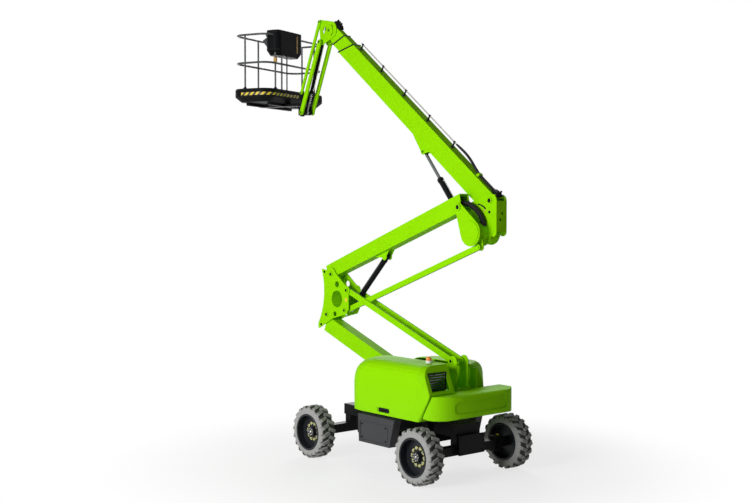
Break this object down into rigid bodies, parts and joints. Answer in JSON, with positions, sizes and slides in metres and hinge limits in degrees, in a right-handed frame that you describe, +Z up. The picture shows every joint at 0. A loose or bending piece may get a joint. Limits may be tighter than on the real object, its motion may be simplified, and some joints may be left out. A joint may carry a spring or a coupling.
{
  "type": "articulating boom lift",
  "caption": "Self-propelled articulating boom lift: slewing turret, stacked lower booms, telescopic upper boom, jib and basket on a wheeled chassis",
  "frame": {"origin": "on the ground under the slew axis, midway between the axles", "axes": "+X forwards, towards the basket; +Y left; +Z up"},
  "size_m": [6.5709, 2.3662, 7.6938],
  "materials": {
    "lime_paint": "gloss lime green paint",
    "lime_casting": "gloss lime green paint on a casting",
    "black_paint": "satin black paint",
    "dark_plastic": "moulded dark grey plastic",
    "black_plastic": "moulded black plastic",
    "tyre": "non-marking grey rubber",
    "rim_paint": "satin blue-grey paint",
    "chrome_rod": "polished chrome",
    "engine_grey": "plain grey",
    "white_plastic": "white plastic",
    "amber_lens": "amber lens",
    "rail_steel": "grey steel tube"
  },
  "bodies": {
    "chassis": {"chassis_frame": "black_paint", "cover_brackets": "black_paint", "side_covers": "dark_plastic", "front_axle": "black_paint", "rear_axle": "black_paint", "slew_ring": "black_paint"},
    "knuckle_left": {"knuckle_left": "black_paint"},
    "knuckle_right": {"knuckle_right": "black_paint"},
    "steering_rod": {"steering_rod": "chrome_rod"},
    "wheel_front_left": {"tyre_front_left": "tyre", "rim_front_left": "rim_paint"},
    "wheel_front_right": {"tyre_front_right": "tyre", "rim_front_right": "rim_paint"},
    "wheel_rear_left": {"tyre_rear_left": "tyre", "rim_rear_left": "rim_paint"},
    "wheel_rear_right": {"tyre_rear_right": "tyre", "rim_rear_right": "rim_paint"},
    "turret": {"turret_deck": "lime_paint", "turret_post": "lime_paint", "counterweight": "lime_casting", "engine_block": "engine_grey", "hydraulic_tank": "engine_grey"},
    "cowl_left": {"cowl_left": "lime_paint", "vent_left": "dark_plastic", "beacon_base": "white_plastic", "beacon_lens": "amber_lens"},
    "cowl_right": {"cowl_right": "lime_paint", "vent_right": "dark_plastic"},
    "lower_boom": {"lower_boom": "lime_paint"},
    "lower_ties": {"lower_ties": "lime_paint"},
    "mid_link": {"mid_link": "lime_paint"},
    "second_boom": {"second_boom": "lime_paint"},
    "second_tie": {"second_tie": "lime_paint"},
    "lift_barrel": {"lift_barrel": "black_paint"},
    "lift_rod": {"lift_rod": "chrome_rod"},
    "upper_link": {"upper_link": "lime_paint"},
    "upper_boom": {"upper_boom": "lime_paint", "outer_collar": "black_paint"},
    "upper_rod": {"upper_rod": "chrome_rod"},
    "upper_barrel": {"upper_barrel": "black_paint"},
    "mid_section": {"mid_section": "lime_paint", "mid_collar": "black_paint"},
    "inner_boom": {"inner_boom": "lime_paint"},
    "jib_head": {"jib_head": "lime_paint"},
    "jib_bars": {"jib_bars": "lime_paint"},
    "jib_tie": {"jib_tie": "lime_paint"},
    "jib_barrel": {"jib_barrel": "black_paint"},
    "jib_rod": {"jib_rod": "chrome_rod"},
    "carrier": {"basket_carrier": "black_paint"},
    "basket": {"basket_frame": "black_paint", "basket_tray": "black_plastic", "basket_rails": "rail_steel", "console": "black_plastic", "control_loom": "black_plastic"}
  },
  "joints": [
    {"name": "steer_left", "type": "hinge", "parent": "chassis", "child": "knuckle_left", "pos_m": [-1.342, 0.74, 0.444], "axis": [0, 0, 1], "range_deg": [-30, 30]},
    {"name": "steer_right", "type": "hinge", "parent": "chassis", "child": "knuckle_right", "pos_m": [-1.342, -0.74, 0.444], "axis": [0, 0, 1], "range_deg": [-30.1, 30.1]},
    {"name": "steer_slide", "type": "slide", "parent": "chassis", "child": "steering_rod", "axis": [0, 1, 0], "range_m": [-0.0855, 0.0855]},
    {"name": "spin_front_left", "type": "hinge", "parent": "chassis", "child": "wheel_front_left", "pos_m": [1.342, 0.975, 0.444], "axis": [0, 1, 0], "continuous": true},
    {"name": "spin_front_right", "type": "hinge", "parent": "chassis", "child": "wheel_front_right", "pos_m": [1.342, -0.975, 0.444], "axis": [0, 1, 0], "continuous": true},
    {"name": "spin_rear_left", "type": "hinge", "parent": "knuckle_left", "child": "wheel_rear_left", "pos_m": [-1.342, 0.975, 0.444], "axis": [0, 1, 0], "continuous": true},
    {"name": "spin_rear_right", "type": "hinge", "parent": "knuckle_right", "child": "wheel_rear_right", "pos_m": [-1.342, -0.975, 0.444], "axis": [0, 1, 0], "continuous": true},
    {"name": "slew", "type": "hinge", "parent": "chassis", "child": "turret", "pos_m": [0, 0, 0.95], "axis": [0, 0, 1], "range_deg": [-177.5, 177.5]},
    {"name": "cowl_left_lift", "type": "hinge", "parent": "turret", "child": "cowl_left", "pos_m": [0, 0.362, 1.8], "axis": [1, 0, 0], "range_deg": [0, 60]},
    {"name": "cowl_right_lift", "type": "hinge", "parent": "turret", "child": "cowl_right", "pos_m": [0, -0.362, 1.71], "axis": [-1, 0, 0], "range_deg": [0, 60]},
    {"name": "lower_lift", "type": "hinge", "parent": "turret", "child": "lower_boom", "pos_m": [-0.584, 0, 1.361], "axis": [0, -1, 0], "range_deg": [-20.2, 49.8]},
    {"name": "lower_tie_pivot", "type": "hinge", "parent": "turret", "child": "lower_ties", "pos_m": [-1.153, 0, 1.823], "axis": [0, -1, 0], "range_deg": [-20.24, 49.9]},
    {"name": "mid_link_pivot", "type": "hinge", "parent": "lower_boom", "child": "mid_link", "pos_m": [2.08414, 0, 2.34268], "axis": [0, -1, 0], "range_deg": [-49.9, 20.24]},
    {"name": "second_lift", "type": "hinge", "parent": "mid_link", "child": "second_boom", "pos_m": [1.95914, 0, 3.06868], "axis": [0, 1, 0], "range_deg": [-20.24, 49.9]},
    {"name": "second_tie_pivot", "type": "hinge", "parent": "mid_link", "child": "second_tie", "pos_m": [1.56914, 0, 2.44868], "axis": [0, 1, 0], "range_deg": [-20.24, 49.9]},
    {"name": "upper_link_pivot", "type": "hinge", "parent": "second_boom", "child": "upper_link", "pos_m": [-1.30588, 0, 4.26998], "axis": [0, 1, 0], "range_deg": [-49.9, 20.24]},
    {"name": "lift_barrel_pivot", "type": "hinge", "parent": "second_boom", "child": "lift_barrel", "pos_m": [0.5969, -0.03, 3.42071], "axis": [0, -1, 0], "range_deg": [-3.96, 9.76]},
    {"name": "lift_stroke", "type": "slide", "parent": "lift_barrel", "child": "lift_rod", "axis": [0.7072, 0, -0.707], "range_m": [-0.2306, 0.5683]},
    {"name": "upper_lift", "type": "hinge", "parent": "upper_link", "child": "upper_boom", "pos_m": [-1.75488, -0.235, 4.37298], "axis": [0, -1, 0], "range_deg": [-37.7, 32.3]},
    {"name": "upper_rod_pivot", "type": "hinge", "parent": "upper_boom", "child": "upper_rod", "pos_m": [-0.1293, -0.235, 5.18701], "axis": [0, -1, 0], "range_deg": [-0.57, 0.49]},
    {"name": "upper_stroke", "type": "slide", "parent": "upper_rod", "child": "upper_barrel", "axis": [-0.6296, 0, -0.7769], "range_m": [-0.4624, 0.3962]},
    {"name": "telescope", "type": "slide", "parent": "upper_boom", "child": "mid_section", "axis": [0.7912, 0, 0.6115], "range_m": [0, 2.8]},
    {"name": "telescope_inner", "type": "slide", "parent": "mid_section", "child": "inner_boom", "axis": [0.7912, 0, 0.6115], "range_m": [0, 2.81]},
    {"name": "jib_level", "type": "hinge", "parent": "inner_boom", "child": "jib_head", "pos_m": [2.38949, -0.235, 7.46994], "axis": [0, -1, 0], "range_deg": [-32.36, 37.78]},
    {"name": "jib_lift", "type": "hinge", "parent": "jib_head", "child": "jib_bars", "pos_m": [2.59149, -0.235, 7.27794], "axis": [0, -1, 0], "range_deg": [-4.1, 135.9]},
    {"name": "jib_tie_pivot", "type": "hinge", "parent": "jib_head", "child": "jib_tie", "pos_m": [2.63849, -0.235, 7.64894], "axis": [0, -1, 0], "range_deg": [-4.11, 136.17]},
    {"name": "carrier_level", "type": "hinge", "parent": "jib_bars", "child": "carrier", "pos_m": [3.14967, -0.235, 6.0301], "axis": [0, -1, 0], "range_deg": [-136.17, 4.11]},
    {"name": "jib_barrel_pivot", "type": "hinge", "parent": "jib_head", "child": "jib_barrel", "pos_m": [2.62149, -0.235, 7.39794], "axis": [0, -1, 0], "range_deg": [-4.12, 136.6]},
    {"name": "jib_stroke", "type": "slide", "parent": "jib_barrel", "child": "jib_rod", "axis": [0.3602, 0, -0.9329], "range_m": [-0.2611, 0.008]},
    {"name": "basket_rotate", "type": "hinge", "parent": "carrier", "child": "basket", "pos_m": [3.29967, -0.235, 6.0301], "axis": [0, 0, 1], "range_deg": [-112, 68]}
  ],
  "couplings": [
    {"joint": "steer_right", "follows": "steer_left", "ratio": 1},
    {"joint": "steer_slide", "follows": "steer_left", "m_per_rad": 0.1624},
    {"joint": "lower_tie_pivot", "follows": "lower_lift", "ratio": 1},
    {"joint": "mid_link_pivot", "follows": "lower_lift", "ratio": -1},
    {"joint": "second_lift", "follows": "lower_lift", "ratio": 1},
    {"joint": "second_tie_pivot", "follows": "lower_lift", "ratio": 1},
    {"joint": "upper_link_pivot", "follows": "lower_lift", "ratio": -1},
    {"joint": "lift_barrel_pivot", "follows": "lower_lift", "ratio": 0.19557},
    {"joint": "lift_stroke", "follows": "lower_lift", "m_per_rad": 0.65245},
    {"joint": "upper_rod_pivot", "follows": "upper_lift", "ratio": 0.015049},
    {"joint": "upper_stroke", "follows": "upper_lift", "m_per_rad": 0.70119},
    {"joint": "telescope_inner", "follows": "telescope", "ratio": 1},
    {"joint": "jib_level", "follows": "upper_lift", "ratio": -1},
    {"joint": "jib_tie_pivot", "follows": "jib_lift", "ratio": 1},
    {"joint": "carrier_level", "follows": "jib_lift", "ratio": -1},
    {"joint": "jib_barrel_pivot", "follows": "jib_lift", "ratio": 1.0032},
    {"joint": "jib_stroke", "follows": "jib_lift", "m_per_rad": -0.10981}
  ]
}
